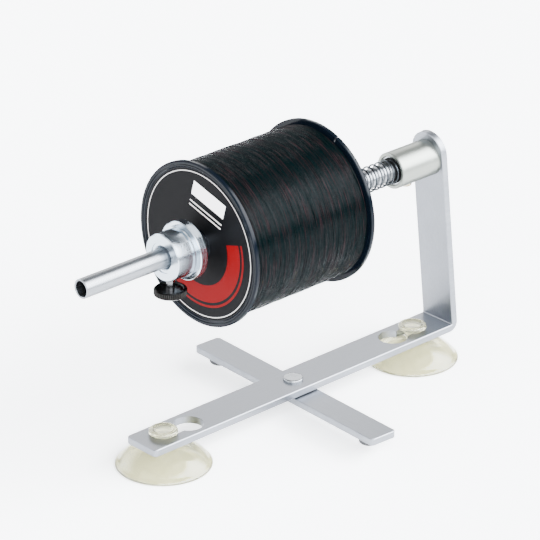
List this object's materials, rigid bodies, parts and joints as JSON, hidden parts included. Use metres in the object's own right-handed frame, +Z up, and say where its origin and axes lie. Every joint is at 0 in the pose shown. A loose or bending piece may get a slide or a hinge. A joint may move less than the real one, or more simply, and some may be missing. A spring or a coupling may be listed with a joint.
{
  "type": "fishing line winder",
  "caption": "Bench stand with suction cups that turns a clamped spool of fishing line on a level shaft in ball bearings.",
  "frame": {"origin": "on the bench, under the middle of the whole winder", "axes": "+Z up, +X along the base bar and the shaft from the shaft's free end towards the upright arm"},
  "size_m": [0.296, 0.1654, 0.1835],
  "materials": {
    "satin_aluminium": "satin",
    "turned_aluminium": "polished",
    "polished_steel": "polished",
    "zinc_steel": "satin",
    "spring_steel": "satin",
    "black_nickel": "satin",
    "bearing_steel": "polished",
    "black_rubber": "matte",
    "clear_pvc": "glossy",
    "black_polystyrene": "glossy",
    "printed_label": "satin",
    "black_nylon": "matte",
    "dark_nylon_line": "glossy"
  },
  "bodies": {
    "frame": {"base_bar": "satin_aluminium", "bearing_housing": "satin_aluminium", "housing_bolt": "zinc_steel", "bolt_washer": "zinc_steel", "retaining_screw": "zinc_steel", "front_outer_race": "bearing_steel", "rear_outer_race": "bearing_steel", "front_seal": "black_rubber", "rear_seal": "black_rubber", "pivot_rivet": "zinc_steel", "pivot_washer": "black_nylon"},
    "crossbar": {"cross_bar": "satin_aluminium", "left_foot": "black_rubber", "right_foot": "black_rubber"},
    "front_cup": {"front_suction_cup": "clear_pvc"},
    "rear_cup": {"rear_suction_cup": "clear_pvc"},
    "spindle": {"shaft_tube": "polished_steel", "front_inner_race": "bearing_steel", "rear_inner_race": "bearing_steel", "thrust_washer": "black_nylon", "tension_spring": "spring_steel"},
    "bearing_balls": {"front_bearing_balls": "bearing_steel", "rear_bearing_balls": "bearing_steel"},
    "pressure_hub": {"rear_hub": "turned_aluminium"},
    "line_spool": {"spool": "black_polystyrene", "front_label": "printed_label", "line_core": "dark_nylon_line", "line_winding": "dark_nylon_line"},
    "clamp_hub": {"front_hub": "turned_aluminium"},
    "screw_stud": {"thumbscrew_stud": "zinc_steel"},
    "screw_knob": {"thumbscrew_knob": "black_nickel"}
  },
  "joints": [
    {"name": "crossbar_turn", "type": "hinge", "parent": "frame", "child": "crossbar", "pos_m": [0.01688, 0, 0.012], "axis": [0, 0, 1], "range_deg": [-60, 60]},
    {"name": "front_cup_slide", "type": "slide", "parent": "frame", "child": "front_cup", "axis": [1, 0, 0], "range_m": [0, 0.0198]},
    {"name": "rear_cup_slide", "type": "slide", "parent": "frame", "child": "rear_cup", "axis": [-1, 0, 0], "range_m": [0, 0.0169]},
    {"name": "shaft_spin", "type": "hinge", "parent": "frame", "child": "spindle", "pos_m": [0, 0, 0.133], "axis": [1, 0, 0], "continuous": true},
    {"name": "ball_orbit", "type": "hinge", "parent": "frame", "child": "bearing_balls", "pos_m": [0.11, 0, 0.133], "axis": [1, 0, 0], "continuous": true},
    {"name": "pressure_hub_slide", "type": "slide", "parent": "spindle", "child": "pressure_hub", "axis": [1, 0, 0], "range_m": [0, 0.008], "stiffness_N_per_m": 800, "springref_m": -0.01, "deforming": ["tension_spring"]},
    {"name": "spool_lift_off", "type": "slide", "parent": "spindle", "child": "line_spool", "axis": [-1, 0, 0], "range_m": [0, 0.19]},
    {"name": "clamp_hub_slide", "type": "slide", "parent": "line_spool", "child": "clamp_hub", "axis": [-1, 0, 0], "range_m": [0, 0.105]},
    {"name": "screw_advance", "type": "slide", "parent": "clamp_hub", "child": "screw_stud", "axis": [0, 0, -1], "range_m": [0, 0.0016]},
    {"name": "knob_turn", "type": "hinge", "parent": "screw_stud", "child": "screw_knob", "pos_m": [-0.08088, 0, 0.11], "axis": [0, 0, -1], "range_deg": [0, 720]}
  ],
  "couplings": [
    {"joint": "ball_orbit", "follows": "shaft_spin", "ratio": 0.448},
    {"joint": "knob_turn", "follows": "screw_advance", "rad_per_m": 7854}
  ]
}
